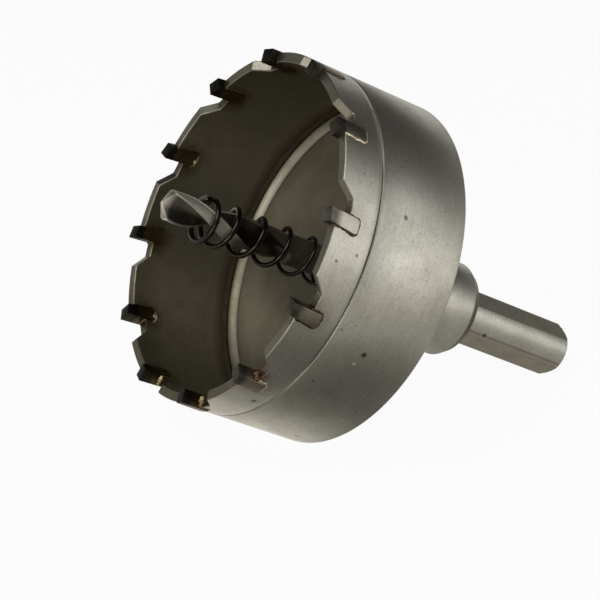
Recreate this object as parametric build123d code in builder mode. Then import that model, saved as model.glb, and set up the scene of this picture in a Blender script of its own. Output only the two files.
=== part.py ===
from build123d import *
from math import atan2, ceil, cos, degrees, pi, radians, sin, tan
import os

# Carbide-tipped hole saw for steel plate, in millimetres, lying on a bench at +Z up. It leans on
# the rear edge of its cup and on the end of its shank, with its teeth and pilot drill off the
# bench. Along the tool's own axis, 0 is the crown between the teeth and the shank is behind it.

# Cup: one turned piece with the boss and the shank.
cup_diameter = 80.0
cup_length = 33.0
cup_wall = 2.3
web_thickness = 5.0
corner_chamfer = 1.7
rear_chamfer = 0.5
outer_line_place = 10.0
outer_line_width = 0.6
outer_line_depth = 0.3

# Boss that holds the pilot drill, and the three-flat shank behind it.
boss_diameter = 22.3
boss_length = 30.0
boss_taper_length = 2.0
boss_taper_depth = 1.2
shank_diameter = 12.8
shank_length = 32.0
shank_chamfer = 1.0
shank_chamfer_round = 4.0
flat_count = 3
flat_depth = 0.86
flat_turn = 20.0

# Teeth: carbide tips brazed into slots of the crown, each with a gullet in front of it.
tooth_count = 12
first_tooth = 7.5
gullet_floor = 3.3
gullet_ramp = 3.3
gullet_depth = 3.1
gullet_corner = 1.0
tip_thickness = 3.0
tip_stand = 1.9
tip_seat = 5.6
tip_proud = 0.4
tip_rake = 4.0
tip_back = 8.0
tip_relief = 8.0
tip_corner = 0.8
braze_gap = 0.05

# Pilot drill, a two-flute twist drill held by its plain rear end, a little slack in its socket.
drill_diameter = 7.0
drill_stand = 18.0
drill_seat = 23.6
point_angle = 118.0
flute_length = 28.0
flute_lead = 44.0
flute_turn = 67.0
flute_radius = 2.9
flute_facets = 12
web_core = 1.0
drill_chamfer = 0.5
drill_clearance = 0.2
drill_touch = 0.02

# Ejector spring, which pushes the cut slug off the pilot drill.
spring_wire = 1.3
wire_facets = 8
spring_bore = 8.2
spring_stand = 8.0
spring_pitch = 6.9
closed_pitch = 1.4
closed_turns = 1.15
spring_gap = 0.15

# Grub screw that clamps the pilot drill.
screw_diameter = 6.0
screw_length = 7.0
screw_hex = 3.0
screw_socket = 3.5
screw_place = 15.0
screw_turn = 260.0
screw_chamfer = 0.5
screw_point_chamfer = 1.0
screw_clearance = 0.1

# Sizes that follow.
cup_radius = cup_diameter / 2
bore_radius = cup_radius - cup_wall
floor_place = cup_length - web_thickness
boss_radius = boss_diameter / 2
boss_end = cup_length + boss_length
shank_radius = shank_diameter / 2
shank_end = boss_end + shank_length
drill_radius = drill_diameter / 2
drill_end = cup_length + drill_seat
socket_radius = drill_radius + drill_clearance
socket_end = drill_end + drill_clearance

# How it lies: the cup's rear edge and the shank's rear edge touch the bench.
rear_edge = cup_length - rear_chamfer
shank_edge = shank_end - shank_chamfer
lean = atan2(cup_radius - shank_radius, shank_edge - rear_edge)
crown_height = cup_radius * cos(lean) + rear_edge * sin(lean)
front_reach = tip_stand * cos(lean) + (cup_radius + tip_proud) * sin(lean)
rear_reach = shank_end * cos(lean) + (shank_radius - shank_chamfer) * sin(lean)
crown_centre = Vector((front_reach - rear_reach) / 2, 0, crown_height)

# The tool's plane lies on the crown: its x points up from the axis and its z runs to the shank.
tool = Plane(
    origin=crown_centre,
    x_dir=(sin(lean), 0, cos(lean)),
    z_dir=(cos(lean), 0, -sin(lean)),
)
tool_axis = Axis(tool.origin, tool.z_dir)
section = Plane(origin=tool.origin, x_dir=tool.x_dir, z_dir=-tool.y_dir)

# The drill's plane is the tool's, turned about the middle of the drill's socket by the slack that
# the drill has there, so that its point droops below the tool's axis.
drill_hold = (floor_place + drill_end) / 2
droop = 2 * (drill_clearance - drill_touch) / (drill_end - floor_place)
drill_plane = Plane(
    origin=tool.origin + tool.z_dir * drill_hold,
    x_dir=tool.x_dir * cos(droop) - tool.z_dir * sin(droop),
    z_dir=tool.z_dir * cos(droop) + tool.x_dir * sin(droop),
).offset(-drill_hold)
drill_axis = Axis(drill_plane.origin, drill_plane.z_dir)
drill_section = Plane(
    origin=drill_plane.origin,
    x_dir=drill_plane.x_dir,
    z_dir=-drill_plane.y_dir,
)


def outward_plane(turn, place=0.0, height=0.0):
    """Plane that looks out from the axis: x along the turn, y to the shank, at a place and height."""
    angle = radians(turn)
    outward = tool.x_dir * cos(angle) + tool.y_dir * sin(angle)
    along = tool.y_dir * cos(angle) - tool.x_dir * sin(angle)
    origin = tool.origin + tool.z_dir * place + outward * height
    return Plane(origin=origin, x_dir=along, z_dir=outward)


def tip_outline(gap):
    """Side view of a carbide tip about its middle on the crown, with a gap round its seat."""
    rake = tan(radians(tip_rake))
    back = tan(radians(tip_back))
    relief = tan(radians(tip_relief))
    front_x = -tip_thickness / 2 - gap
    back_x = tip_thickness / 2 + gap
    seat = tip_seat + gap
    edge = Vector(front_x - tip_stand * rake, -tip_stand)
    heel_x = (back_x - back * (tip_stand + relief * edge.X)) / (1 - back * relief)
    heel = Vector(heel_x, edge.Y + (heel_x - edge.X) * relief)
    return [edge, heel, Vector(back_x + seat * back, seat), Vector(front_x + seat * rake, seat)]


def tip_profile(gap):
    """Face of a carbide tip, or of its slot with a gap, with round corners on its seat."""
    with BuildSketch() as profile:
        with BuildLine():
            Polyline(*tip_outline(gap), close=True)
        make_face()
        fillet(profile.vertices().group_by(Axis.Y)[-1], tip_corner + gap)
    return profile.sketch


tooth_turns = [first_tooth + index * 360 / tooth_count for index in range(tooth_count)]
gullet_length = gullet_floor + gullet_ramp
gullet_back_turn = degrees((tip_thickness + gullet_length) / 2 / cup_radius)
cut_start = bore_radius - cup_wall
cut_reach = 3 * cup_wall
slot_planes = [outward_plane(turn, 0, cut_start) for turn in tooth_turns]
gullet_planes = [outward_plane(turn - gullet_back_turn, 0, cut_start) for turn in tooth_turns]

# One turned piece: cup, web, boss and shank.
line_front = outer_line_place - outer_line_width / 2
line_back = outer_line_place + outer_line_width / 2
with BuildPart() as saw_body:
    with BuildSketch(section):
        with BuildLine():
            Polyline(
                (bore_radius - corner_chamfer, floor_place),
                (bore_radius, floor_place - corner_chamfer),
                (bore_radius, 0),
                (cup_radius, 0),
                (cup_radius, line_front),
                (cup_radius - outer_line_depth, outer_line_place),
                (cup_radius, line_back),
                (cup_radius, rear_edge),
                (cup_radius - rear_chamfer, cup_length),
                (boss_radius, cup_length),
                (boss_radius, boss_end - boss_taper_length),
                (boss_radius - boss_taper_depth, boss_end),
                (shank_radius, boss_end),
                (shank_radius, shank_edge),
            )
            RadiusArc(
                (shank_radius, shank_edge),
                (shank_radius - shank_chamfer, shank_end),
                -shank_chamfer_round,
            )
            Polyline(
                (shank_radius - shank_chamfer, shank_end),
                (0, shank_end),
                (0, socket_end + socket_radius / tan(radians(point_angle / 2))),
                (socket_radius, socket_end),
                (socket_radius, floor_place),
                (bore_radius - corner_chamfer, floor_place),
            )
        make_face()
    revolve(axis=tool_axis)

    # Three flats for the jaws of a drill chuck.
    with BuildSketch(tool.offset(boss_end)):
        with PolarLocations(shank_radius * 2 - flat_depth, flat_count, flat_turn):
            Rectangle(shank_diameter, shank_diameter)
    extrude(amount=shank_length, mode=Mode.SUBTRACT)

    # Gullet in front of each tooth: a ramp down from the crown and a flat floor up to the tip.
    with BuildSketch(*gullet_planes) as gullet:
        with BuildLine():
            Polyline(
                (-gullet_length / 2, -gullet_depth),
                (-gullet_length / 2, 0),
                (gullet_ramp - gullet_length / 2, gullet_depth),
                (gullet_length / 2 + tip_thickness / 2, gullet_depth),
                (gullet_length / 2 + tip_thickness / 2, -gullet_depth),
                close=True,
            )
        make_face()
        fillet(gullet.vertices().group_by(Axis.Y)[-1].sort_by(Axis.X)[0], gullet_corner)
    extrude(amount=cut_reach, mode=Mode.SUBTRACT)

    # Slot for each carbide tip.
    with BuildSketch(*slot_planes):
        add(tip_profile(braze_gap))
    extrude(amount=cut_reach, mode=Mode.SUBTRACT)

    # Tapped hole for the grub screw, from the boss's side into the drill socket.
    with BuildSketch(outward_plane(screw_turn, cup_length + screw_place)):
        Circle(screw_diameter / 2 + screw_clearance)
    extrude(amount=boss_diameter, mode=Mode.SUBTRACT)

saw_body.part.label = "saw_body"

# Carbide tips, one solid for each tooth.
tip_names = [f"carbide_tip_{index + 1:02d}" for index in range(tooth_count)]
tip_parts = []
for name, turn in zip(tip_names, tooth_turns):
    with BuildPart() as carbide_tip:
        with BuildSketch(outward_plane(turn, 0, bore_radius - tip_proud)):
            add(tip_profile(0))
        extrude(amount=cup_wall + 2 * tip_proud)
    carbide_tip.part.label = name
    tip_parts.append(carbide_tip.part)

# Pilot drill: a pointed rod with two flutes cut along a right-hand helix.
point_height = drill_radius / tan(radians(point_angle / 2))
drill_tip = drill_plane.origin - drill_plane.z_dir * drill_stand
flute_centre = web_core / 2 + flute_radius
with BuildPart() as pilot_drill:
    with BuildSketch(drill_section):
        with BuildLine():
            Polyline(
                (0, -drill_stand),
                (drill_radius, point_height - drill_stand),
                (drill_radius, drill_end - drill_chamfer),
                (drill_radius - drill_chamfer, drill_end),
                (0, drill_end),
                close=True,
            )
        make_face()
    revolve(axis=drill_axis)
    for turn in (flute_turn, flute_turn + 180):
        with BuildLine() as flute_path:
            Helix(flute_lead, flute_length, flute_centre, drill_tip, drill_plane.z_dir)
        start = drill_plane.to_local_coords(flute_path.line @ 0)
        flute_line = flute_path.line.rotate(drill_axis, turn - degrees(atan2(start.Y, start.X)))
        with BuildSketch(Plane(flute_line @ 0, z_dir=flute_line % 0)):
            RegularPolygon(flute_radius, flute_facets)
        sweep(path=flute_line, is_frenet=True, mode=Mode.SUBTRACT)
        with Locations(flute_line @ 1):
            Sphere(flute_radius, mode=Mode.SUBTRACT)
pilot_drill.part.label = "pilot_drill"

# Ejector spring: a left-hand coil with closed ends, hanging on the drill by its own weight.
coil_radius = (spring_bore + spring_wire) / 2
spring_sag = spring_bore / 2 - drill_radius - spring_gap
spring_front = spring_wire / 2 - spring_stand
spring_rear = floor_place - spring_wire / 2 - spring_gap
open_turns = (spring_rear - spring_front - 2 * closed_turns * closed_pitch) / spring_pitch
coil_turns = open_turns + 2 * closed_turns
points_per_turn = 12
point_count = ceil(coil_turns * points_per_turn)
coil_points = []
for index in range(point_count + 1):
    turns = coil_turns * index / point_count
    open_part = min(max(turns - closed_turns, 0), open_turns)
    place = spring_front + spring_pitch * open_part + closed_pitch * (turns - open_part)
    up = coil_radius * cos(2 * pi * turns) - spring_sag
    across = -coil_radius * sin(2 * pi * turns)
    coil_points.append(drill_plane.from_local_coords(Vector(up, across, place)))
with BuildPart() as ejector_spring:
    with BuildLine() as coil_path:
        Spline(*coil_points)
    with BuildSketch(Plane(coil_path.line @ 0, z_dir=coil_path.line % 0)):
        RegularPolygon(spring_wire / 2, wire_facets)
    sweep(path=coil_path.line, is_frenet=True)
ejector_spring.part.label = "ejector_spring"

# Grub screw with a hexagon socket, its point on the drill.
screw_front = drill_radius + braze_gap
with BuildPart() as grub_screw:
    screw_plane = outward_plane(screw_turn, cup_length + screw_place, screw_front)
    with BuildSketch(screw_plane):
        Circle(screw_diameter / 2)
    extrude(amount=screw_length)
    end_edges = grub_screw.edges().filter_by(GeomType.CIRCLE)
    screw_axis = Axis(screw_plane.origin, screw_plane.z_dir)
    chamfer(end_edges.sort_by(screw_axis)[0], screw_point_chamfer)
    chamfer(end_edges.sort_by(screw_axis)[-1], screw_chamfer)
    with BuildSketch(screw_plane.offset(screw_length)):
        RegularPolygon(screw_hex / 2, 6, major_radius=False)
    extrude(amount=-screw_socket, mode=Mode.SUBTRACT)
grub_screw.part.label = "grub_screw"

os.makedirs("parts", exist_ok=True)
export_step(saw_body.part, "parts/saw_body.step")
for name, tip in zip(tip_names, tip_parts):
    export_step(tip, f"parts/{name}.step")
export_step(pilot_drill.part, "parts/pilot_drill.step")
export_step(ejector_spring.part, "parts/ejector_spring.step")
export_step(grub_screw.part, "parts/grub_screw.step")
print(f"lean {degrees(lean):.2f} degrees, crown centre {crown_centre}")
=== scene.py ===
import bmesh, bpy
from math import acos, atan2, ceil, cos, degrees, pi, radians, sin, sqrt, tan
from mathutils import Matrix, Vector, noise
from mathutils.geometry import delaunay_2d_cdt


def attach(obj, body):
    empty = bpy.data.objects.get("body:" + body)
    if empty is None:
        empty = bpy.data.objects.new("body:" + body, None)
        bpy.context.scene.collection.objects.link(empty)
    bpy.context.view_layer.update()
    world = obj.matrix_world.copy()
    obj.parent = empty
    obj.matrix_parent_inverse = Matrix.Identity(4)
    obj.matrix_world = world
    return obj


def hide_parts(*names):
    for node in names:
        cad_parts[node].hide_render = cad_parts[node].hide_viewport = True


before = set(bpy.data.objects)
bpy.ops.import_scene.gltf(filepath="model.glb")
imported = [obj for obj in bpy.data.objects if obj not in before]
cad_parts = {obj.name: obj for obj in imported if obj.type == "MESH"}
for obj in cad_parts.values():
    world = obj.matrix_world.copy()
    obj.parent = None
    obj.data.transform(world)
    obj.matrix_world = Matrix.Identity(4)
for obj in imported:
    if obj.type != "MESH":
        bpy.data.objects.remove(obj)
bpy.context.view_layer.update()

# The bench, the light and the camera. The saw leans back on its cup's rear edge and its shank's end,
# on a pale bench, and the camera looks into the open cup from the front and a little above. Lengths
# are in millimetres until a piece is made.
MM = 0.001
cup_radius, rear_edge, shank_radius, shank_edge = 40.0, 32.5, 6.4, 94.0
crown_ahead = 32.460
lean = atan2(cup_radius - shank_radius, shank_edge - rear_edge)
crown_centre = Vector((-crown_ahead, 0, cup_radius * cos(lean) + rear_edge * sin(lean)))
tool_up = Vector((sin(lean), 0, cos(lean)))
tool_across = Vector((0, -1, 0))
tool_back = Vector((cos(lean), 0, -sin(lean)))

view_turn, view_tilt, lens, sensor, far_sight = -25.39, 22.78, 134.343, 36, 20
crown_in_view = Vector((-15.022, 16.184, -485.742))
camera = bpy.data.objects.new("camera", bpy.data.cameras.new("camera"))
camera.rotation_euler = (radians(90 - view_tilt), 0, radians(view_turn))
view_axes = camera.rotation_euler.to_matrix()
camera.location = (crown_centre - view_axes @ crown_in_view) * MM
camera.data.sensor_width = sensor
camera.data.lens = lens
camera.data.clip_end = far_sight
bpy.context.scene.collection.objects.link(camera)
bpy.context.scene.camera = camera
bpy.context.scene.view_settings.view_transform = "Standard"


def add_node(tree, kind, sockets=None, **settings):
    """Adds a shader node, sets its properties, and sets or links its sockets by name or number."""
    node = tree.nodes.new("ShaderNode" + kind)
    for name, value in settings.items():
        setattr(node, name, value)
    for name, value in (sockets or {}).items():
        if isinstance(value, bpy.types.Node):
            value = value.outputs[0]
        if isinstance(value, bpy.types.NodeSocket):
            tree.links.new(value, node.inputs[name])
        else:
            node.inputs[name].default_value = value
    return node


def paint(hex_code):
    """Linear colour of an sRGB hex code."""
    parts = [int(hex_code[i:i + 2], 16) / 255 for i in (1, 3, 5)]
    return [p / 12.92 if p <= 0.04045 else ((p + 0.055) / 1.055) ** 2.4 for p in parts] + [1]


# Studio air: bright round the horizon like a white sweep, dark overhead, and white where the camera
# looks past the bench.
world = bpy.data.worlds.new("studio")
bpy.context.scene.world = world
world.use_nodes = True
air = world.node_tree
air.nodes.clear()
gaze = add_node(air, "TexCoord")
gaze_parts = add_node(air, "SeparateXYZ", {0: gaze.outputs["Generated"]})
horizon = add_node(air, "MapRange", {"Value": gaze_parts.outputs["Z"], "From Min": 0.06, "From Max": 0.28,
                                     "To Min": 0.55, "To Max": 0.05}, interpolation_type="SMOOTHSTEP")
away = view_axes @ Vector((0, 0, -1))
facing = add_node(air, "VectorMath", {0: gaze.outputs["Generated"], 1: (away.x, away.y, 0)},
                  operation="DOT_PRODUCT")
sweep = add_node(air, "MapRange", {"Value": facing.outputs["Value"], "From Min": 0.78, "From Max": 0.9,
                                   "To Min": 1.0, "To Max": 2.6}, interpolation_type="SMOOTHSTEP")
level = add_node(air, "Math", {0: horizon, 1: sweep}, operation="MULTIPLY")
room = add_node(air, "Background", {"Color": paint("#FFFDF8"), "Strength": level})
white = add_node(air, "Background", {"Color": paint("#FFFFFF"), "Strength": 1.0})
path = add_node(air, "LightPath")
seen = add_node(air, "MixShader", {0: path.outputs["Is Camera Ray"], 1: room, 2: white})
add_node(air, "OutputWorld", {"Surface": seen})


def softbox(name, toward, distance, wide, high, power):
    """Rectangular lamp at a direction and distance in millimetres from the cup, facing it."""
    lamp = bpy.data.objects.new(name, bpy.data.lights.new(name, "AREA"))
    lamp.data.shape = "RECTANGLE"
    lamp.data.size, lamp.data.size_y = wide * MM, high * MM
    lamp.data.energy = power
    lamp.location = (crown_centre + toward.normalized() * distance) * MM
    lamp.rotation_euler = (-toward).to_track_quat("-Z", "Y").to_euler()
    bpy.context.scene.collection.objects.link(lamp)


softbox("key_right", view_axes @ Vector((0.95, 0.10, 0.5)), 700, 560, 640, 1.8)
softbox("front_left", view_axes @ Vector((-0.54, -0.05, 0.84)), 800, 420, 420, 1.6)
softbox("top_left", Vector((-0.44, -0.16, 0.88)), 750, 420, 420, 2.2)

board_half = 3.0  # metres
board_bm = bmesh.new()
bmesh.ops.create_grid(board_bm, x_segments=1, y_segments=1, size=board_half)
board_mesh = bpy.data.meshes.new("bench")
board_bm.to_mesh(board_mesh)
bench = bpy.data.objects.new("bench", board_mesh)
bpy.context.scene.collection.objects.link(bench)

# Matt white board: an even white that takes the saw's soft shadow and no gloss.
bench_white = bpy.data.materials.new("matt_white_board")
bench_white.use_nodes = True
tree = bench_white.node_tree
tree.nodes.clear()
board = add_node(tree, "BsdfDiffuse", {"Color": paint("#F4F3F1")})
path = add_node(tree, "LightPath")
spot = add_node(tree, "TexCoord")
away_flat = Vector((away.x, away.y, 0)).normalized()
right_flat = view_axes @ Vector((1, 0, 0))
# Painted reflection: what the steel mirrors in the board glows for glossy rays only, with painted light under
# the cup and far behind it, and a patch of painted shade between. Each row is how far away and to the right
# it lies, its inner and outer radius, and what it adds inside and outside.
level = 0.5
for forward, right, near, far, inner, outer in ((12, 0, 8, 48, 0.9, 0.0), (-46, 34, 12, 60, -0.34, 0.0),
                                                (0, 0, 140, 300, 0.0, 0.5), (-160, -210, 40, 160, 0.35, 0.0)):
    middle = (crown_centre + away_flat * forward + right_flat * right) * MM
    reach = add_node(tree, "VectorMath", {0: spot.outputs["Object"], 1: (middle.x, middle.y, 0)},
                     operation="DISTANCE")
    reflection_patch = add_node(tree, "MapRange", {"Value": reach.outputs["Value"], "From Min": near * MM,
                                       "From Max": far * MM, "To Min": inner, "To Max": outer},
                    interpolation_type="SMOOTHSTEP")
    level = add_node(tree, "Math", {0: reflection_patch, 1: level}, operation="ADD")
mirrored = add_node(tree, "Emission", {"Color": paint("#FFFBF2"), "Strength": level})
glow = add_node(tree, "Emission", {"Color": paint("#FFFFFF"), "Strength": 1.0})
to_lens = add_node(tree, "Math", {0: path.outputs["Is Camera Ray"], 1: 0.95}, operation="MULTIPLY")
lit = add_node(tree, "MixShader", {0: to_lens, 1: board, 2: glow})
# glossy rays see the painted reflection, camera rays the even white
seen = add_node(tree, "MixShader", {0: path.outputs["Is Glossy Ray"], 1: lit, 2: mirrored})
add_node(tree, "OutputMaterial", {"Surface": seen})
board_mesh.materials.append(bench_white)


# Saw body. One piece of steel turned on a lathe: the cup with its web, the boss that holds the pilot
# drill, and the shank. Its crown is milled with a gullet and a slot for each of the twelve carbide
# tips, and its shank with three flats for the chuck's jaws.
bore_radius, floor_place, bore_corner, cup_length = 37.7, 28.0, 1.7, 33.0
corner_place, corner_reach = floor_place - bore_corner, bore_radius - bore_corner
line_place, line_depth = 10.0, 0.3
boss_radius, boss_end, boss_taper, taper_depth, shank_end = 11.15, 63.0, 2.0, 1.2, 95.0
flat_reach, flat_turn, flat_count = 5.54, 20.0, 3
socket_radius, socket_end = 3.7, 56.8
tooth_count, first_tooth, pitch_turn = 12, 7.5, 30.0
tooth_turns = [first_tooth + pitch_turn * tooth for tooth in range(tooth_count)]
gullet_length, gullet_ramp, gullet_depth, gullet_corner = 6.6, 3.3, 3.1, 1.0
tip_thick, tip_stand, tip_seat, tip_corner, slot_gap = 3.0, 1.9, 5.6, 0.8, 0.05
tip_rake, tip_back, tip_relief = tan(radians(4)), tan(radians(8)), tan(radians(8))
sector_start, ring_place, edge_break = -13.5, 8.6, 0.2
# the mesh: rows of points in the wall behind the crown, room kept round the cut, the longest mitre,
# how close two points count as one, and the angle in degrees below which an edge stays soft
first_row, row_step, row_count, row_gap = 1.2, 0.925, 8, 0.3
clear_before, clear_behind, mitre_limit, same_spot, weld_gap = 0.3, 0.5, 0.4, 1e-5, 0.0015
soft_below = 28


def on_tool(turn, radius, place):
    """Point at a turn about the saw's axis, a radius from it and a place along it."""
    angle = radians(turn)
    return crown_centre + tool_back * place + (tool_up * cos(angle) + tool_across * sin(angle)) * radius


def beside(turn, along, place, height):
    """Point in the plane that looks out from the axis at a turn: along the crown, back, and out."""
    angle = radians(turn)
    outward = tool_up * cos(angle) + tool_across * sin(angle)
    sideways = tool_across * cos(angle) - tool_up * sin(angle)
    return crown_centre + tool_back * place + sideways * along + outward * height


def round_corner(before, corner, after, radius, steps=5):
    """Points of a round corner between two straight runs."""
    a, b = (before - corner).normalized(), (after - corner).normalized()
    half = acos(max(-1, min(1, a.dot(b)))) / 2
    centre = corner + (a + b).normalized() * radius / sin(half)
    first = corner + a * radius / tan(half) - centre
    last = corner + b * radius / tan(half) - centre
    sweep = atan2(first.x * last.y - first.y * last.x, first.dot(last))
    points = []
    for step in range(steps + 1):
        angle = sweep * step / steps
        points.append(centre + Vector((first.x * cos(angle) - first.y * sin(angle),
                                       first.x * sin(angle) + first.y * cos(angle))))
    return points


def seat_points(gap):
    """The seat of a tip from its front on the gullet floor, round under it, and up to the crown."""
    front_x, back_x, seat = -tip_thick / 2 - gap, tip_thick / 2 + gap, tip_seat + gap
    front_top = Vector((front_x + gullet_depth * tip_rake, gullet_depth))
    front_low = Vector((front_x + seat * tip_rake, seat))
    back_low = Vector((back_x + seat * tip_back, seat))
    back_top = Vector((back_x, 0))
    return ([front_top] + round_corner(front_top, front_low, back_low, tip_corner + gap)
            + round_corner(front_low, back_low, back_top, tip_corner + gap) + [back_top])


def crown_outline(radius):
    """One tooth's share of the crown, as turns from the tooth in degrees and places."""
    start = Vector((-tip_thick / 2 - gullet_length, 0))
    bend = Vector((start.x + gullet_ramp, gullet_depth))
    cut = [start] + round_corner(start, bend, Vector((0, gullet_depth)), gullet_corner)
    cut += seat_points(slot_gap)
    cut = [Vector((degrees(p.x / radius), p.y)) for p in cut]
    turns = [sector_start + step for step in range(int(pitch_turn) + 1)]
    # whole degrees of the crown's face that lie clear of the cut
    before = [Vector((t, 0)) for t in turns if t < degrees(start.x / cup_radius) - clear_before]
    after = [Vector((t, 0)) for t in turns if t > cut[-1].x + clear_behind]
    return before + cut + after


def set_in(outline, radius, amount):
    """The outline moved into the steel by an amount."""
    flat = [Vector((radians(p.x) * radius, p.y)) for p in outline]
    moved = []
    for i, p in enumerate(flat):
        a = (p - flat[i - 1]).normalized() if i else Vector((1, 0))
        b = (flat[i + 1] - p).normalized() if i < len(flat) - 1 else Vector((1, 0))
        mitre = Vector((-a.y - b.y, a.x + b.x)).normalized()
        step = amount / max(mitre_limit, mitre.dot(Vector((-a.y, a.x))))
        q = p + mitre * step
        moved.append(Vector((outline[i].x if i in (0, len(flat) - 1) else degrees(q.x / radius), q.y)))
    return moved


def wall_sheet(outline, radius):
    """Triangles between a crown outline and the first whole ring, as turns, places and faces."""
    flat = [Vector((radians(p.x) * radius, p.y)) for p in outline]
    turns = [sector_start + step for step in range(int(pitch_turn) + 1)]
    places = [first_row + row_step * step for step in range(row_count)]
    edge = [Vector((radians(turns[-1]) * radius, p)) for p in places]
    edge += [Vector((radians(t) * radius, ring_place)) for t in reversed(turns)]
    edge += [Vector((radians(turns[0]) * radius, p)) for p in reversed(places)]
    loop = flat + edge
    count = len(loop)
    inside = []
    for t in turns[1:-1]:
        for place in places:
            spot = Vector((radians(t) * radius, place))
            inside_cut = False
            for a, b in zip(flat, flat[1:]):
                if (a.x - spot.x) * (b.x - spot.x) <= 0 and a.x != b.x:
                    depth = a.y + (b.y - a.y) * (spot.x - a.x) / (b.x - a.x)
                    inside_cut = inside_cut or depth > place - row_gap
            near = min((spot - p).length for p in flat)
            if not inside_cut and near > row_gap:
                inside.append(spot)
    links = [(i, (i + 1) % count) for i in range(count)]
    spots, _, faces, *_ = delaunay_2d_cdt(loop + inside, links, [], 1, same_spot)
    return [Vector((degrees(p.x / radius), p.y)) for p in spots], faces


def add_ring(bm, place, radius, flats=False):
    """Ring of points at each degree about the saw's axis, cut by the shank's flats where asked."""
    ring, apart = [], 360 // flat_count
    for turn in range(360):
        reach = radius
        if flats:
            off = (turn - flat_turn + apart / 2) % apart - apart / 2
            reach = min(radius, flat_reach / cos(radians(off)))
        ring.append(bm.verts.new(on_tool(turn, reach, place)))
    return ring


def join_rings(bm, one, other):
    """Quads between two rings with the same number of points."""
    for i in range(len(one)):
        j = (i + 1) % len(one)
        bm.faces.new((one[i], one[j], other[j], other[i]))


def cover_rings(bm, rings, start_closed=True):
    """Skin over a row of rings: quads from each to the next, and a face at the end and the start."""
    if start_closed:
        bm.faces.new(rings[0])
    for one, other in zip(rings, rings[1:]):
        join_rings(bm, one, other)
    bm.faces.new(rings[-1])


def make_piece(name, bm, material, nodes, crease=soft_below):
    """Turns a mesh in millimetres into a piece that stands for CAD nodes, in metres."""
    bmesh.ops.remove_doubles(bm, verts=bm.verts, dist=weld_gap)
    bmesh.ops.recalc_face_normals(bm, faces=bm.faces)
    bmesh.ops.scale(bm, vec=(MM, MM, MM), verts=bm.verts)
    mesh = bpy.data.meshes.new(name)
    bm.to_mesh(mesh)
    bm.free()
    mesh.polygons.foreach_set("use_smooth", [True] * len(mesh.polygons))
    mesh.set_sharp_from_angle(angle=radians(crease))
    mesh.materials.append(material)
    piece = bpy.data.objects.new(name, mesh)
    bpy.context.scene.collection.objects.link(piece)
    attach(piece, "root")
    if nodes:
        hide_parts(*nodes)
    return piece


def cut_with(piece, bm, operation, crease):
    """Cuts a piece with a mesh in millimetres and keeps the result."""
    bmesh.ops.recalc_face_normals(bm, faces=bm.faces)
    bmesh.ops.scale(bm, vec=(MM, MM, MM), verts=bm.verts)
    mesh = bpy.data.meshes.new("cutter")
    bm.to_mesh(mesh)
    bm.free()
    cutter = bpy.data.objects.new("cutter", mesh)
    bpy.context.scene.collection.objects.link(cutter)
    cut = piece.modifiers.new("cut", "BOOLEAN")
    cut.operation, cut.object, cut.solver = operation, cutter, "EXACT"
    bpy.context.view_layer.update()
    shaped = piece.evaluated_get(bpy.context.evaluated_depsgraph_get())
    result = bpy.data.meshes.new_from_object(shaped)
    piece.modifiers.clear()
    piece.data = result
    result.set_sharp_from_angle(angle=radians(crease))
    bpy.data.objects.remove(cutter)


def start_finish(name, middle=Vector()):
    """Empty material, its node tree, and the node that gives the place in millimetres from a middle."""
    finish = bpy.data.materials.new(name)
    finish.use_nodes = True
    tree = finish.node_tree
    tree.nodes.clear()
    spot = add_node(tree, "TexCoord")
    moved = add_node(tree, "VectorMath", {0: spot.outputs["Object"], 1: middle * MM}, operation="SUBTRACT")
    scaled = add_node(tree, "VectorMath", {0: moved, "Scale": 1 / MM}, operation="SCALE")
    return finish, tree, scaled


# Turned steel, dry and lightly tarnished: a soft satin grey, with fine marks round the lathe's axis that
# spread each highlight along the tool, and brown where coolant and braze heat have been. Painted shade
# darkens the inside of the cup, the lower side of the crown, the turned line, the boss's lip and the shank's
# flats.
turned_steel, tree, in_mm = start_finish("turned_steel", crown_centre)
place_mm = add_node(tree, "VectorMath", {0: in_mm, 1: tool_back}, operation="DOT_PRODUCT")
up_mm = add_node(tree, "VectorMath", {0: in_mm, 1: tool_up}, operation="DOT_PRODUCT")
across_mm = add_node(tree, "VectorMath", {0: in_mm, 1: tool_across}, operation="DOT_PRODUCT")
flat_mm = add_node(tree, "CombineXYZ", {0: up_mm.outputs["Value"], 1: across_mm.outputs["Value"]})
reach_mm = add_node(tree, "VectorMath", {0: flat_mm}, operation="LENGTH")
turn_rad = add_node(tree, "Math", {0: across_mm.outputs["Value"], 1: up_mm.outputs["Value"]},
                    operation="ARCTAN2")
feed_mm = add_node(tree, "Math", {0: place_mm.outputs["Value"], 1: reach_mm.outputs["Value"]},
                   operation="ADD")
# Lathe marks: the real feed is about 0.1 mm a turn, drawn at 0.45 mm so that it shows.
lathe_at = add_node(tree, "CombineXYZ", {0: feed_mm, 1: turn_rad})
lathe_marks = add_node(tree, "TexNoise", {"Vector": lathe_at, "Scale": 2.2, "Detail": 3.0,
                                          "Roughness": 0.7}, noise_dimensions="2D")
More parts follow.
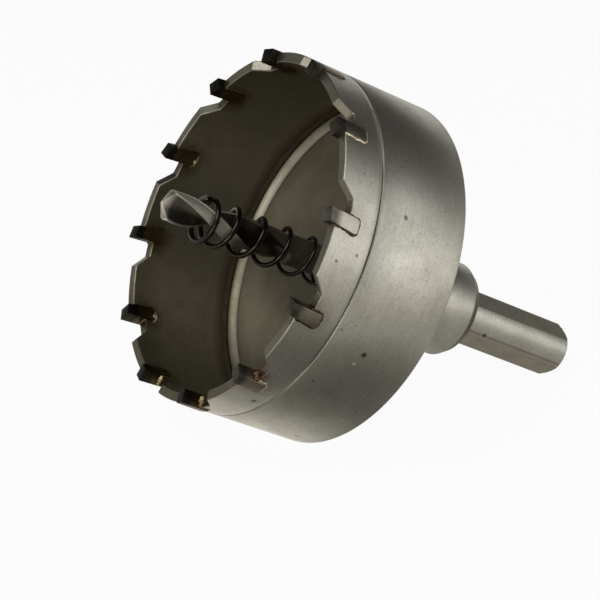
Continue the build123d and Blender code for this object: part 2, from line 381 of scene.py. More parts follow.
# Handling and storage: soft patches of 6 mm, the 0.4 mm grain of dry oxide, and specks of 0.9 mm.
patches = add_node(tree, "TexNoise", {"Vector": in_mm, "Scale": 0.16, "Detail": 4.0, "Roughness": 0.6})
grain = add_node(tree, "TexNoise", {"Vector": in_mm, "Scale": 2.4, "Detail": 2.0, "Roughness": 0.7})
specks = add_node(tree, "TexNoise", {"Vector": in_mm, "Scale": 1.1, "Detail": 2.0, "Roughness": 0.6})
fine = add_node(tree, "Math", {0: lathe_marks, 1: 0.5, 2: grain}, operation="MULTIPLY_ADD")
tone = add_node(tree, "Math", {0: fine, 1: 1.1, 2: patches}, operation="MULTIPLY_ADD")
bright = add_node(tree, "MapRange", {"Value": tone, "From Min": 0.9, "From Max": 1.75})
skin = add_node(tree, "Mix", {"Factor": bright, "A": paint("#9A978C"), "B": paint("#BBB9B0")},
                data_type="RGBA")
place, reach, turn_at = place_mm.outputs["Value"], reach_mm.outputs["Value"], turn_rad
stain_edge = add_node(tree, "Math", {0: patches, 1: 3.0, 2: place}, operation="MULTIPLY_ADD")
# Parts of the body: what is measured, its low and high limit, their softness, and the strength.
masks = {}
for name, value, low, high, soft, strength in (
        ("inside", reach, 20.0, bore_radius + 0.1, 0.04, 1.0),
        ("bore", place, -3.0, corner_place - 0.1, 0.05, 1.0),
        ("wall", reach, bore_radius + 0.05, cup_radius - 0.05, 0.05, 1.0),
        ("crown", place, -1.0, 8.0, 0.1, 1.0),
        ("low", up_mm.outputs["Value"], -48.0, -24.0, 4.0, 1.0),
        ("tide", stain_edge, 24.6, 27.6, 1.2, 0.55),
        ("corner", place, corner_place, floor_place - 0.05, 0.06, 1.0),
        ("far_side", turn_at, radians(-142), radians(-104), 0.2, 0.85),
        ("corner_dirt", place, corner_place - 0.25, corner_place + 0.2, 0.1, 0.9),
        ("web", place, floor_place - 0.1, floor_place + 1.0, 0.04, 1.0),
        ("in_cup", reach, 3.0, corner_reach, 0.04, 1.0),
        ("web_rim", reach, corner_reach - 0.25, corner_reach + 0.1, 0.08, 0.75),
        ("scribed", place, 24.4, 24.55, 0.05, 0.5),
        ("outside", reach, cup_radius - 0.6, cup_radius + 1.0, 0.01, 1.0),
        ("line", place, line_place - 0.18, line_place + 0.18, 0.1, 0.9),
        ("near_side", turn_at, radians(46), radians(114), 0.05, 1.0),
        ("boss_lip", place, boss_end - boss_taper + 0.1, boss_end + 0.4, 0.2, 0.9),
        ("shank", place, boss_end + 0.4, shank_end, 0.1, 1.0),
        ("flats", reach, 5.0, shank_radius - 0.08, 0.04, 1.0),
        ("flat_edge", turn_at, radians(103), radians(109), 0.04, 0.55)):
    rise = add_node(tree, "MapRange", {"Value": value, "From Min": low - soft, "From Max": low + soft,
                                       "To Max": strength})
    fall = add_node(tree, "MapRange", {"Value": value, "From Min": high - soft, "From Max": high + soft,
                                       "To Min": 1.0, "To Max": 0.0})
    masks[name] = add_node(tree, "Math", {0: rise, 1: fall}, operation="MULTIPLY")
# Braze heat and flux: brown round each tip, by the distance from its middle round the wall. Ten whole
# turns are added first, so that the share of a pitch is taken of a positive turn.
ten_turns, tip_middle = 3600, (-0.3, 3.2, 0)
from_tooth = add_node(tree, "Math", {0: turn_at, 1: radians(ten_turns + pitch_turn / 2 - first_tooth)},
                      operation="ADD")
in_pitch = add_node(tree, "Math", {0: from_tooth, 1: radians(pitch_turn)}, operation="MODULO")
off_tooth = add_node(tree, "Math", {0: in_pitch, 1: radians(pitch_turn / 2)}, operation="SUBTRACT")
along_mm = add_node(tree, "Math", {0: off_tooth, 1: cup_radius}, operation="MULTIPLY")
tip_spot = add_node(tree, "CombineXYZ", {0: along_mm, 1: place})
from_tip = add_node(tree, "VectorMath", {0: tip_spot, 1: tip_middle}, operation="DISTANCE")
ragged = add_node(tree, "Math", {0: specks, 1: 4.0, 2: from_tip.outputs["Value"]}, operation="MULTIPLY_ADD")
masks["flux"] = add_node(tree, "MapRange", {"Value": ragged, "From Min": 4.2, "From Max": 7.4,
                                            "To Min": 0.75, "To Max": 0.0})
masks["faint"] = add_node(tree, "Math", {0: masks["flux"], 1: 0.35}, operation="MULTIPLY")
masks["rust"] = add_node(tree, "MapRange", {"Value": specks, "From Min": 0.73, "From Max": 0.78,
                                            "To Max": 0.7})
masks["freckles"] = add_node(tree, "MapRange", {"Value": specks, "From Min": 0.6, "From Max": 0.72,
                                                "To Max": 0.25})
# Single stains and nicks, as turn, radius, place, size and colour. The grain shakes their edges.
shake = 0.9
drift = add_node(tree, "VectorMath", {0: grain.outputs["Color"], "Scale": shake}, operation="SCALE")
shaken = add_node(tree, "VectorMath", {0: in_mm, 1: drift}, operation="ADD")
stains = []
for turn, radius, at, size, hex_code in (
        (103.3, 40.0, 19.7, 0.8, "#2A241C"), (107.2, 40.0, 18.9, 0.6, "#E9E4D6"),
        (135.8, 40.0, 7.3, 0.7, "#3A2E1E"), (151.5, 40.0, 27.0, 0.75, "#5A4C3A"),
        (59.8, 40.0, 16.9, 0.65, "#4E463C"), (79.7, 40.0, 3.0, 0.4, "#6A5E4C"),
        (76.1, 40.0, 7.3, 0.45, "#6E6252"), (25.1, 40.0, 9.6, 0.65, "#4A443A"),
        (104.3, 6.2, 70.3, 0.7, "#1E1A16"), (127.2, 6.0, 70.4, 0.55, "#2C2620"),
        (123.2, 38.9, 3.1, 2.3, "#7A6052"), (118.6, 39.4, 1.8, 0.9, "#8C6A56"),
        (118.0, 40.0, 13.5, 0.5, "#7A5E48")):
    middle = on_tool(turn, radius, at) - crown_centre + Vector((1, 1, 1)) * shake / 2
    away_mm = add_node(tree, "VectorMath", {0: shaken, 1: middle}, operation="DISTANCE")
    name = f"stain_{len(stains)}"
    masks[name] = add_node(tree, "MapRange", {"Value": away_mm.outputs["Value"], "From Min": size * 0.5,
                                              "From Max": size, "To Min": 0.85, "To Max": 0.0})
    stains.append((hex_code, "MIX", name))
# What lies on the steel, and the painted shade on it, from the bottom up: a colour, how it is laid on, and
# the parts it lies on.
for hex_code, blend, *parts in (
        # painted shade darkens the inside of the cup and its bore, the milled faces of the crown are duller
        # too, and painted shade darkens the lower side of the crown
        ("#D3CFC7", "MULTIPLY", "inside", "bore"), ("#CCC9C0", "MULTIPLY", "wall", "crown"),
        ("#D2CDC2", "MULTIPLY", "wall", "low"),
        # dried coolant leaves a brown tide line beside the bore's corner; the corner's chamfer is darker,
        # most on its far side; thin lines of dirt edge the chamfer; and painted shade darkens the cup's floor
        ("#8A6E3E", "MULTIPLY", "inside", "tide"), ("#D5D0C5", "MULTIPLY", "inside", "corner"),
        ("#BDBAAE", "MULTIPLY", "corner", "far_side"), ("#2E2718", "MIX", "inside", "corner_dirt"),
        ("#4A4436", "MIX", "web", "web_rim"), ("#DFDBD4", "MULTIPLY", "in_cup", "web"),
        # a line scribed round the bore, and painted shade in the line turned round the cup, on its near side
        ("#3A3426", "MIX", "inside", "scribed"), ("#3A362E", "MIX", "outside", "line", "near_side"),
        # painted shade on the boss's tapered lip, where it mirrors the shank, and on the three milled flats
        # of the shank, darkest by the edge of the lower flat
        ("#8A8477", "MULTIPLY", "boss_lip"), ("#E2DED4", "MULTIPLY", "shank", "flats"),
        ("#5E574B", "MIX", "shank", "flat_edge"),
        ("#7A6A4C", "MULTIPLY", "wall", "flux"), ("#8E8062", "MULTIPLY", "inside", "bore", "flux"),
        ("#A08E70", "MULTIPLY", "outside", "faint"), *stains, ("#6E6556", "MIX", "outside", "freckles"),
        ("#4E4032", "MIX", "rust")):
    cover = masks[parts[0]]
    for part in parts[1:]:
        cover = add_node(tree, "Math", {0: cover, 1: masks[part]}, operation="MULTIPLY")
    skin = add_node(tree, "Mix", {"Factor": cover, "A": skin.outputs["Result"], "B": paint(hex_code)},
                    data_type="RGBA", blend_type=blend)
shine = add_node(tree, "MapRange", {"Value": tone, "From Min": 0.9, "From Max": 1.75, "To Min": 0.46,
                                    "To Max": 0.38})
relief = add_node(tree, "Bump", {"Height": fine, "Strength": 0.12, "Distance": 0.0001})
steel = add_node(tree, "BsdfPrincipled", {"Base Color": skin.outputs["Result"], "Metallic": 1.0,
                                          "Roughness": shine, "Normal": relief})
add_node(tree, "OutputMaterial", {"Surface": steel})

# The turned profiles, as places and radii: the outside, the shank, and the inside with the drill's
# socket. Plain numbers are rings in between, and small steps are edge breaks.
body = bmesh.new()
line = [(0.34, 0), (0.3, 0.02), (0.02, line_depth)]
outer = [(ring_place, cup_radius)]
outer += [(line_place - away, cup_radius - depth) for away, depth in line]
outer += [(line_place + away, cup_radius - depth) for away, depth in reversed(line)]
outer += [(rear_edge - 0.08, cup_radius), (rear_edge, cup_radius - 0.03),
          (cup_length - 0.03, cup_radius - 0.47), (cup_length, cup_radius - 0.55),
          (cup_length, 30), (cup_length, 20), (cup_length, boss_radius + 0.3),
          (cup_length + 0.09, boss_radius + 0.09), (cup_length + 0.3, boss_radius),
          (43.5, boss_radius), (52.5, boss_radius), (boss_end - boss_taper - 0.1, boss_radius),
          (boss_end - boss_taper, boss_radius - 0.03), (boss_end - 0.1, boss_radius - taper_depth + 0.05),
          (boss_end, boss_radius - taper_depth - 0.1), (boss_end, shank_radius + 0.2)]
shank = [(boss_end + 0.01, shank_radius), (boss_end + 16, shank_radius), (shank_edge - 0.02, shank_radius),
         (shank_edge + 0.3, shank_radius - 0.25), (shank_edge + 0.65, shank_radius - 0.58),
         (shank_end - 0.06, shank_radius - 0.94), (shank_end, shank_radius - 1.05)]
inner = [(ring_place, bore_radius), (corner_place - 0.06, bore_radius),
         (corner_place + 0.03, bore_radius - 0.03), (floor_place - 0.03, corner_reach + 0.03),
         (floor_place, corner_reach - 0.06), (floor_place, 25), (floor_place, 12),
         (floor_place, socket_radius + 0.35), (floor_place + 0.35, socket_radius),
         (socket_end, socket_radius), (socket_end + socket_radius * 0.55, 0.4)]
for wall, rows in ((cup_radius, outer + shank), (bore_radius, inner)):
    spots, faces = wall_sheet(set_in(crown_outline(wall), wall, edge_break), wall)
    for turn in tooth_turns:
        verts = [body.verts.new(on_tool(turn + p.x, wall, p.y)) for p in spots]
        for face in faces:
            body.faces.new([verts[i] for i in face])
    rings = [add_ring(body, place, radius, place > boss_end) for place, radius in rows]
    cover_rings(body, rings, start_closed=False)

# The crown's own faces, with a small chamfer at both walls.
outer_in = crown_outline(cup_radius - edge_break)
inner_out = crown_outline(bore_radius + edge_break)
outer_edge = set_in(crown_outline(cup_radius), cup_radius, edge_break)
inner_edge = set_in(crown_outline(bore_radius), bore_radius, edge_break)
bands = [(outer_edge, cup_radius), (outer_in, cup_radius - edge_break),
         (inner_out, bore_radius + edge_break), (inner_edge, bore_radius)]
for turn in tooth_turns:
    rows = [[body.verts.new(on_tool(turn + p.x, radius, p.y)) for p in band] for band, radius in bands]
    for one, other in zip(rows, rows[1:]):
        for i in range(len(one) - 1):
            body.faces.new((one[i], one[i + 1], other[i + 1], other[i]))
saw_body = make_piece("saw_body_turned", body, turned_steel, ["saw_body"])

# The tapped hole in the boss's side. Its thread shows as rings down to the drill's socket.
screw_turn, screw_place, screw_radius, screw_pitch = 260.0, 48.0, 3.0, 1.0
hole_sides, hole_rings, hole_radius, thread_reach = 48, 15, 3.02, 3.35


def on_screw(angle, radius, height):
    """Point at an angle about the grub screw's axis, a radius from it and a height above the saw's."""
    return beside(screw_turn, radius * cos(angle), screw_place + radius * sin(angle), height)


# its profile, as heights above the saw's axis and radii
tap = bmesh.new()
rows = [(2.6, 3.15)]
rows += [(3.0 + screw_pitch * step / 2, thread_reach if step % 2 else hole_radius)
         for step in range(hole_rings)]
rows += [(10.5, hole_radius), (10.9, 3.4), (11.4, 3.9), (13.0, 3.9)]
cover_rings(tap, [[tap.verts.new(on_screw(2 * pi * i / hole_sides, radius, height))
                   for i in range(hole_sides)] for height, radius in rows])
cut_with(saw_body, tap, "DIFFERENCE", soft_below)


# Carbide tips. Twelve blocks of sintered tungsten carbide, pressed and ground, each brazed into its
# slot with its cutting edge ahead of the crown and proud of the wall on both sides.
tip_proud, tip_edge, sharp_above = 0.4, 0.1, 25
# How dark each tip is, from a clean one at 0 to a black one at 1: soot left by the torch, and painted light
# and shade set tip by tip for where it faces.
tip_soot_and_shade = (0.2, 0.15, -0.02, 0.15, 0.1, 0.45, 0.5, 0.6, 0.3, 0.3, 0.35, 0.4)

# Sintered carbide, pressed and ground: darker than the steel, with flat faces and fine scratches, and
# blackened by the torch; each tip also takes painted light and shade of its own.
carbide, tree, in_mm = start_finish("ground_carbide")
# Torch soot lies in clouds of about 1 mm.
scorch = add_node(tree, "TexNoise", {"Vector": in_mm, "Scale": 0.9, "Detail": 4.0, "Roughness": 0.65})
# Grinding scratches, really about 0.03 mm apart, drawn at 0.25 mm.
scratch_at = add_node(tree, "VectorMath", {0: in_mm, 1: (0.6, 5.0, 5.0)}, operation="MULTIPLY")
scratches = add_node(tree, "TexNoise", {"Vector": scratch_at, "Scale": 0.8, "Detail": 2.0})
soot_and_shade_read = add_node(tree, "Attribute", attribute_name="soot_and_shade")
place_mm = add_node(tree, "VectorMath", {0: in_mm, 1: tool_back}, operation="DOT_PRODUCT")
# The torch blackens what stands ahead of the crown more than what lies in the seat.
seat_mm = crown_centre.dot(tool_back)
stands = add_node(tree, "MapRange", {"Value": place_mm.outputs["Value"], "From Min": seat_mm + 1.4,
                                     "From Max": seat_mm - 0.2, "To Max": 0.7})
scorched_and_shaded = add_node(tree, "Math", {0: soot_and_shade_read.outputs["Fac"], 1: stands}, operation="ADD")
soot_and_shade_edge = add_node(tree, "Math", {0: scorch, 1: 0.45, 2: scorched_and_shaded}, operation="MULTIPLY_ADD")
soot_and_shade = add_node(tree, "MapRange", {"Value": soot_and_shade_edge, "From Min": 0.2, "From Max": 1.2})
clean = add_node(tree, "Mix", {"Factor": scratches, "A": paint("#8C877D"), "B": paint("#AAA59B")},
                 data_type="RGBA")
tip_colour = add_node(tree, "Mix", {"Factor": soot_and_shade, "A": clean.outputs["Result"], "B": paint("#2B2721")},
                      data_type="RGBA")
# Flux left a brown glaze on the seated part of the tips with more soot and painted shade.
seated = add_node(tree, "MapRange", {"Value": stands, "From Max": 0.7, "To Min": 3.0, "To Max": 0.0})
glaze = add_node(tree, "Math", {0: seated, 1: soot_and_shade_read.outputs["Fac"]}, operation="MULTIPLY", use_clamp=True)
tip_colour = add_node(tree, "Mix", {"Factor": glaze, "A": tip_colour.outputs["Result"],
                                    "B": paint("#A08C66")}, data_type="RGBA", blend_type="MULTIPLY")
dull = add_node(tree, "MapRange", {"Value": soot_and_shade, "To Min": 0.36, "To Max": 0.55})
relief = add_node(tree, "Bump", {"Height": scratches, "Strength": 0.15, "Distance": 0.0001})
sintered = add_node(tree, "BsdfPrincipled", {"Base Color": tip_colour.outputs["Result"], "Metallic": 1.0,
                                             "Roughness": dull, "Normal": relief})
add_node(tree, "OutputMaterial", {"Surface": sintered})

# Each tip's side: its cutting edge, the relief behind it, and its seat.
front_x, back_x = -tip_thick / 2, tip_thick / 2
edge = Vector((front_x - tip_stand * tip_rake, -tip_stand))
heel_x = (back_x - tip_back * (tip_stand + tip_relief * edge.x)) / (1 - tip_back * tip_relief)
heel = Vector((heel_x, edge.y + (heel_x - edge.x) * tip_relief))
tip_side = [edge, heel] + list(reversed(seat_points(0)[1:-1]))
for tooth, turn in enumerate(tooth_turns):
    block = bmesh.new()
    cover_rings(block, [[block.verts.new(beside(turn, p.x, p.y, height)) for p in tip_side]
                        for height in (bore_radius - tip_proud, cup_radius + tip_proud)])
    bmesh.ops.recalc_face_normals(block, faces=block.faces)
    sharp = [e for e in block.edges if e.calc_face_angle() > radians(sharp_above)]
    bmesh.ops.bevel(block, geom=sharp, offset=tip_edge, segments=2, profile=0.6, affect="EDGES")
    number = f"{tooth + 1:02d}"
    tip = make_piece("tip_" + number, block, carbide, ["carbide_tip_" + number], crease=50)
    # each tip's soot with its painted light and shade, as a value on its points
    soot_and_shade_layer = tip.data.attributes.new("soot_and_shade", "FLOAT", "POINT")
    soot_and_shade_layer.data.foreach_set("value", [tip_soot_and_shade[tooth]] * len(tip.data.vertices))


# Braze round each tip. Silver solder run into the slot with flux, left as an uneven bead along the
# seat outside and inside, with drops where it ran past the tip.
bead_step, bead_wide, bead_high, bead_foot, arc_steps = 0.22, 0.42, 0.2, 0.05, 8
fillet_rows, fillet_points, fillet_in, fillet_past = 14, 6, 0.06, 0.12

# Silver solder with burnt flux: a lumpy dull skin, from black and copper brown to pale yellow silver.
silver_braze, tree, in_mm = start_finish("silver_braze")
# Lumps of 1.2 mm, about as wide as the bead.
crust = add_node(tree, "TexNoise", {"Vector": in_mm, "Scale": 0.8, "Detail": 4.0, "Roughness": 0.7})
shaded = add_node(tree, "Attribute", attribute_name="shade")
mixed = add_node(tree, "Math", {0: crust, 1: 1.0, 2: shaded.outputs["Fac"]}, operation="MULTIPLY_ADD")
hue_at = add_node(tree, "Math", {0: mixed, 1: 0.5}, operation="SUBTRACT")
hues = add_node(tree, "ValToRGB", {"Fac": hue_at})
hues.color_ramp.elements[0].color = paint("#2A2018")
hues.color_ramp.elements[1].color = paint("#DDD5BE")
for at, hex_code in ((0.2, "#4A3E30"), (0.36, "#66503E"), (0.48, "#80604C"),
                     (0.6, "#8A7856"), (0.75, "#B4A682")):
    hues.color_ramp.elements.new(at).color = paint(hex_code)
relief = add_node(tree, "Bump", {"Height": crust, "Strength": 0.5, "Distance": 0.0003})
solder = add_node(tree, "BsdfPrincipled", {"Base Color": hues, "Metallic": 1.0, "Roughness": 0.48,
                                           "Normal": relief})
add_node(tree, "OutputMaterial", {"Surface": solder})


def along_seat(gap, spacing):
    """Evenly spaced points along a tip's seat."""
    corners = seat_points(gap)
    points, left = [corners[0]], spacing
    for a, b in zip(corners, corners[1:]):
        run, done = (b - a).length, 0.0
        while run - done >= left:
            done += left
            points.append(a + (b - a) * done / run)
            left = spacing
        left -= run - done
    return points


# For each tip: how much solder pooled at its foot in the gullet and under it in the bore, in
# millimetres, and how pale the solder stayed outside, at the foot and inside, from burnt at 0 to 1.
solder_runs = ((0.5, 0.1, 0.3, 0.3, 0.4), (0.4, 0.1, 0.9, 0.3, 0.4), (0.35, 0.1, 0.2, 0.4, 0.5),
               (0.5, 0.1, 0.15, 0.3, 0.4), (1.4, 0.3, 1.0, 0.3, 0.45), (1.0, 0.2, 0.5, 0.62, 0.5),
               (1.1, 0.3, 0.4, 0.66, 0.5), (0.5, 0.5, 0.3, 0.5, 1.0), (0.5, 0.2, 0.3, 0.4, 0.35),
               (0.4, 0.5, 0.3, 0.3, 0.9), (0.6, 0.2, 0.3, 0.5, 0.4), (0.6, 0.1, 0.25, 0.6, 0.4))
foot = Vector((-tip_thick / 2 + gullet_depth * tip_rake + fillet_in, gullet_depth + fillet_in))
for tooth, (foot_pool, bore_pool, pale_out, pale_foot, pale_in) in enumerate(solder_runs):
    turn = tooth_turns[tooth]
    bead = bmesh.new()
    shade = bead.verts.layers.float.new("shade")
    run = along_seat(slot_gap, bead_step)
    for wall, outside, pool, pale in ((cup_radius, 1, 0, pale_out), (bore_radius, -1, bore_pool, pale_in)):
        last = None
        for i, spot in enumerate(run):
            ahead = run[min(i + 1, len(run) - 1)] - run[max(i - 1, 0)]
            across = Vector((ahead.y, -ahead.x)).normalized()
            seed = Vector((tooth * 7.3, i * 0.23, outside * 3.1))
            under = max(0, 1 - abs(spot.x - 0.2) / 1.4) if spot.y > tip_seat - 0.8 else 0.0
            wide = bead_wide + 0.2 * noise.noise(seed) + 0.1 * noise.noise(seed * 3.7) + 0.6 * pool * under
            high = bead_high + 0.12 * noise.noise(seed + Vector((5, 1, 2))) + pool * under
            sway = 0.1 * noise.noise(seed + Vector((1, 9, 4)))
            ring = []
            for step in range(arc_steps + 1):
                angle = pi * step / arc_steps
                q = spot + across * (sway + wide * cos(angle))
                lift = high * sin(angle) - bead_foot
                # the wall is round, so the bead's foot drops away from the tip's flat plane
                base = sqrt(wall ** 2 - q.x ** 2)
                ring.append(bead.verts.new(beside(turn, q.x, q.y, base + outside * lift)))
                ring[-1][shade] = pale if outside > 0 or under or bore_pool < 0.5 else 0.35
            if last:
                for a in range(arc_steps):
                    bead.faces.new((last[a], last[a + 1], ring[a + 1], ring[a]))
            else:
                bead.faces.new(ring)
            last = ring
        bead.faces.new(last)
    # the fillet of solder in the corner between the tip's front and the gullet's floor
    rings = []
    for step in range(fillet_rows + 1):
        height = bore_radius - fillet_past
        height += (cup_radius - bore_radius + 2 * fillet_past) * step / fillet_rows
        seed = Vector((tooth * 5.1, height * 1.3, 8.0))
        size = foot_pool * (0.75 + 0.5 * noise.noise(seed)) * (0.6 if step in (0, fillet_rows) else 1.0)
        ring = [bead.verts.new(beside(turn, foot.x, foot.y, height))]
        for k in range(fillet_points + 1):
            angle = pi / 2 * k / fillet_points
            out = size * (1 + 0.25 * noise.noise(seed + Vector((k * 0.6, 0, 0))))
            spot = foot - Vector((cos(angle), sin(angle))) * out
            ring.append(bead.verts.new(beside(turn, spot.x, spot.y, height)))
        for vert in ring:
            vert[shade] = pale_foot
        rings.append(ring)
    cover_rings(bead, rings)
    make_piece(f"braze_{tooth + 1:02d}", bead, silver_braze, [], crease=180)


# Pilot drill. A 7 mm two-flute twist drill of high speed steel, steam-tempered and then ground, with
# a 118 degree point. Its plain rear end is slack in the boss, so its point droops below the axis.
drill_radius, drill_stand, drill_end, point_slope = 3.5, 18.0, 56.6, tan(radians(59))
flute_lead, flute_turn, flute_radius, web_core, flute_length = 44.0, 67.0, 2.9, 1.0, 28.0
flute_wide, flute_fade, web_steps, margin_turn, land_turn, land_drop = 1.08, 5.0, 12, 13.0, 1.5, 0.1
blank_ahead, ring_step, ring_count, end_break, drill_crease = 1.5, 0.6, 80, 0.5, 30
drill_slack, drill_hold = 0.18, (floor_place + drill_end) / 2
droop = 2 * drill_slack / (drill_end - floor_place)
drill_up = tool_up * cos(droop) - tool_back * sin(droop)
drill_back = tool_back * cos(droop) + tool_up * sin(droop)
drill_centre = crown_centre + tool_back * drill_hold - drill_back * drill_hold


def on_drill(turn, radius, place):
    """Point about the pilot drill's own axis."""
    angle = radians(turn)
    return drill_centre + drill_back * place + (drill_up * cos(angle) + tool_across * sin(angle)) * radius


flute_x = web_core / 2 + flute_radius
flute_half = (drill_radius ** 2 + flute_x ** 2 - flute_radius ** 2) / (2 * drill_radius * flute_x)
flute_half = degrees(acos(flute_half))


def drill_section():
    """Cross-section of the drill as turns and radii: two flutes, and two lands with a margin each."""
    half = []
    for step in range(-web_steps, web_steps + 1):
        off = flute_half * sin(pi / 2 * step / web_steps)
        past = sqrt(max(0, flute_radius ** 2 - (flute_x * sin(radians(off))) ** 2))
        reach = flute_x * cos(radians(off)) - past
        half.append((off * flute_wide, min(reach, drill_radius)))
    edge = flute_half * flute_wide
    land = 180 - 2 * edge
    half += [(edge + margin_turn * k / 3, drill_radius) for k in (1, 2, 3)]
    start, rest = edge + margin_turn + land_turn, land - margin_turn - land_turn
    half += [(start + rest * k / 7, drill_radius - land_drop) for k in range(7)]
    return half + [(turn + 180, reach) for turn, reach in half]


# High speed steel, ground and steam-tempered: pale worn lands against darker flutes.
drill_steel, tree, in_mm = start_finish("bright_drill_steel", drill_centre)
place_mm = add_node(tree, "VectorMath", {0: in_mm, 1: drill_back}, operation="DOT_PRODUCT")
# Wheel marks run round the drill, really 0.02 mm apart, drawn at 0.3 mm.
marks_at = add_node(tree, "VectorMath", {0: drill_back * 3.0, 1: place_mm.outputs["Value"]},
                    operation="MULTIPLY")
loose_at = add_node(tree, "VectorMath", {0: in_mm, 1: (0.2, 0.2, 0.2), 2: marks_at},
                    operation="MULTIPLY_ADD")
marks = add_node(tree, "TexNoise", {"Vector": loose_at, "Scale": 1.0, "Detail": 3.0})
# Temper and wear come in clouds of 2 mm.
mist = add_node(tree, "TexNoise", {"Vector": in_mm, "Scale": 0.5, "Detail": 4.0})
worn = add_node(tree, "Math", {0: mist, 1: 7.0, 2: place_mm.outputs["Value"]}, operation="MULTIPLY_ADD")
beside_mm = add_node(tree, "VectorMath", {0: in_mm, 1: drill_back}, operation="CROSS_PRODUCT")
reach_mm = add_node(tree, "VectorMath", {0: beside_mm}, operation="LENGTH")
# Steam-tempered dark behind the point, and rubbed bright by the spring towards its front.
temper = add_node(tree, "MapRange", {"Value": worn, "From Min": 1.5, "From Max": 7.0},
                  interpolation_type="SMOOTHSTEP")
bare = add_node(tree, "Mix", {"Factor": marks, "A": paint("#CCC6B9"), "B": paint("#E6E1D4")},
                data_type="RGBA")
dark = add_node(tree, "Mix", {"Factor": marks, "A": paint("#5A554C"), "B": paint("#857F73")},
                data_type="RGBA")
# The flutes are darker and less rough, fading in over the first 2 mm behind the point.
hollow = add_node(tree, "MapRange", {"Value": reach_mm.outputs["Value"], "From Min": 3.3, "From Max": 2.9,
                                     "To Max": 0.9})
behind = add_node(tree, "MapRange", {"Value": place_mm.outputs["Value"], "From Min": 0.6 - drill_stand,
                                     "From Max": 2.6 - drill_stand})
darker_flutes = add_node(tree, "Math", {0: hollow, 1: behind}, operation="MULTIPLY")
drill_colour = add_node(tree, "Mix", {"Factor": temper, "A": bare.outputs["Result"],
                                      "B": dark.outputs["Result"]}, data_type="RGBA")
drill_colour = add_node(tree, "Mix", {"Factor": darker_flutes, "A": drill_colour.outputs["Result"],
                                      "B": paint("#37332D")}, data_type="RGBA")
drill_dull = add_node(tree, "MapRange", {"Value": darker_flutes, "To Min": 0.58, "To Max": 0.4})
relief = add_node(tree, "Bump", {"Height": marks, "Strength": 0.1, "Distance": 0.0001})
ground = add_node(tree, "BsdfPrincipled", {"Base Color": drill_colour.outputs["Result"], "Metallic": 1.0,
                                           "Roughness": drill_dull, "Normal": relief})
add_node(tree, "OutputMaterial", {"Surface": ground})

# The blank with its flutes, from ahead of the point to the rounded rear end.
drill = bmesh.new()
section = drill_section()
rings = []
for step in range(ring_count):
    place = step * ring_step - drill_stand - blank_ahead
    fade = 1 - max(0, min(1, (place + drill_stand - flute_length) / flute_fade)) ** 2
    twist = flute_turn + 360 * (place + drill_stand) / flute_lead
    rings.append([drill.verts.new(on_drill(twist + off, drill_radius - (drill_radius - reach) * fade, place))
                  for off, reach in section])
for place, radius in ((drill_end - end_break, drill_radius), (drill_end, drill_radius - end_break)):
    rings.append([drill.verts.new(on_drill(twist + off, radius, place)) for off, reach in section])
cover_rings(drill, rings)
twist_drill = make_piece("twist_drill", drill, drill_steel, ["pilot_drill"], drill_crease)

# The point is ground last: what lies outside the cone comes off.
cone_reach, cone_sides, cone_tip = 5, 72, 0.01
grinder = bmesh.new()
rows = [(-drill_stand, cone_tip), (-drill_stand + cone_reach / point_slope, cone_reach),
        (drill_end + 2, cone_reach)]
cover_rings(grinder, [[grinder.verts.new(on_drill(i * 360 / cone_sides, radius, place))
                       for i in range(cone_sides)] for place, radius in rows])
cut_with(twist_drill, grinder, "INTERSECT", drill_crease)


# Ejector spring. A left-hand coil of 1.3 mm spring wire with closed ends. It hangs on the pilot
# drill and pushes the cut slug off it.
wire_radius, coil_radius, spring_bore = 0.65, 4.75, 8.2
spring_gap, open_pitch, closed_pitch, closed_turns = 0.15, 6.9, 1.4, 1.15
spring_stand, turn_steps, wire_sides, wire_crease, a_little = 8.0, 56, 14, 50, 0.002
spring_sag = spring_bore / 2 - drill_radius - spring_gap
spring_front, spring_rear = wire_radius - spring_stand, floor_place - wire_radius - spring_gap
open_turns = (spring_rear - spring_front - 2 * closed_turns * closed_pitch) / open_pitch
coil_turns = open_turns + 2 * closed_turns


def on_coil(turns):
    """Point on the middle of the spring's wire after a number of turns from its front end."""
    open_part = min(max(turns - closed_turns, 0), open_turns)
    place = spring_front + open_pitch * open_part + closed_pitch * (turns - open_part)
    angle = 2 * pi * turns
    middle = drill_centre - drill_up * spring_sag + drill_back * place
    return middle + (drill_up * cos(angle) - tool_across * sin(angle)) * coil_radius


# Drawn and blued spring wire: nearly black, smooth enough for a thin bright line along each coil.
spring_steel, tree, in_mm = start_finish("drawn_spring_wire")
# Scale left by the bluing heat, in spots of 0.8 mm.
scale = add_node(tree, "TexNoise", {"Vector": in_mm, "Scale": 1.2, "Detail": 4.0, "Roughness": 0.6})
wire_colour = add_node(tree, "Mix", {"Factor": scale, "A": paint("#1E1D1B"), "B": paint("#45423D")},
                       data_type="RGBA")
wire_dull = add_node(tree, "MapRange", {"Value": scale, "To Min": 0.15, "To Max": 0.32})
relief = add_node(tree, "Bump", {"Height": scale, "Strength": 0.1, "Distance": 0.0001})
wire = add_node(tree, "BsdfPrincipled", {"Base Color": wire_colour.outputs["Result"], "Metallic": 1.0,
                                         "Roughness": wire_dull, "Normal": relief})
add_node(tree, "OutputMaterial", {"Surface": wire})

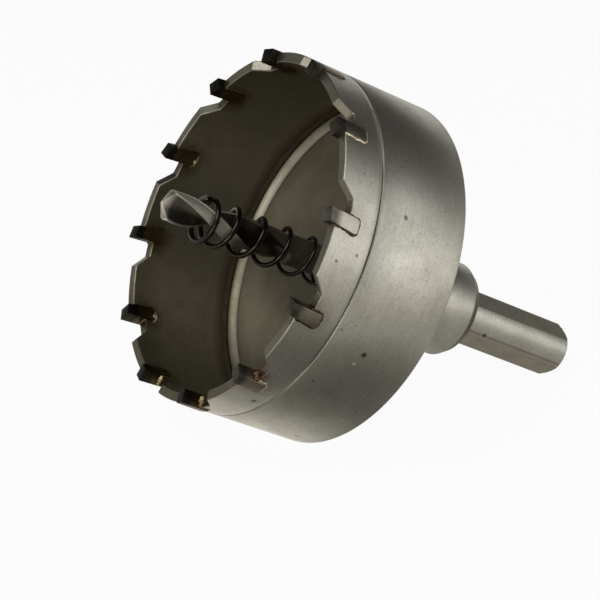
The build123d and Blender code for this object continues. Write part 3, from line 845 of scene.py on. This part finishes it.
coil = bmesh.new()
steps = ceil(coil_turns * turn_steps)
rings = []
for i in range(steps + 1):
    turns_done = coil_turns * i / steps
    along = (on_coil(turns_done + a_little) - on_coil(turns_done - a_little)).normalized()
    out = on_coil(turns_done) - drill_centre + drill_up * spring_sag
    out = (out - along * out.dot(along) - drill_back * out.dot(drill_back)).normalized()
    side = along.cross(out)
    rings.append([coil.verts.new(on_coil(turns_done) + (out * cos(a) + side * sin(a)) * wire_radius)
                  for a in (2 * pi * k / wire_sides for k in range(wire_sides))])
cover_rings(coil, rings)
make_piece("coil_spring", coil, spring_steel, ["ejector_spring"], wire_crease)


# Grub screw. An M6 set screw of black oxide steel with a 3 mm hexagon socket, which clamps the
# pilot drill from the boss's side. Its thread is rolled.
screw_front, screw_length, socket_hex, socket_depth = 3.55, 7.0, 1.5, 3.5
front_radius, top_radius, end_middle = 2.0, 2.5, 0.01
screw_sides, screw_steps, thread_depth, screw_crease = 72, 56, 0.35, 30

# Black oxide on rolled steel: a deep soft black that the key has rubbed in places.
black_screw, tree, in_mm = start_finish("black_oxide_steel")
# Rubbed spots of 0.6 mm.
rub = add_node(tree, "TexNoise", {"Vector": in_mm, "Scale": 1.6, "Detail": 3.0})
oxide_colour = add_node(tree, "Mix", {"Factor": rub, "A": paint("#1F1E1C"), "B": paint("#454340")},
                        data_type="RGBA")
oxide_dull = add_node(tree, "MapRange", {"Value": rub, "To Min": 0.32, "To Max": 0.55})
relief = add_node(tree, "Bump", {"Height": rub, "Strength": 0.1, "Distance": 0.0001})
oxide = add_node(tree, "BsdfPrincipled", {"Base Color": oxide_colour.outputs["Result"], "Metallic": 1.0,
                                          "Roughness": oxide_dull, "Normal": relief})
add_node(tree, "OutputMaterial", {"Surface": oxide})

screw = bmesh.new()
angles = [2 * pi * i / screw_sides for i in range(screw_sides)]
top = screw_front + screw_length
rings = []
for step in range(-1, screw_steps + 1):
    ring = []
    for i, a in enumerate(angles):
        height = screw_front + max(step, 0) * screw_length / screw_steps
        depth = (height / screw_pitch - i / screw_sides) % 1
        reach = screw_radius - thread_depth * abs(2 * depth - 1)
        reach = min(reach, front_radius + (height - screw_front), top_radius + (top - height))
        ring.append(screw.verts.new(on_screw(a, end_middle if step < 0 else reach, height)))
    rings.append(ring)
for shrink, depth in ((1.12, 0.0), (1.0, 0.12), (1.0, socket_depth), (0.02, socket_depth + 0.5)):
    ring = []
    for a in angles:
        off = (a + pi / 6) % (pi / 3) - pi / 6
        ring.append(screw.verts.new(on_screw(a, socket_hex / cos(off) * shrink, top - depth)))
    rings.append(ring)
cover_rings(screw, rings)
make_piece("set_screw", screw, black_screw, ["grub_screw"], screw_crease)
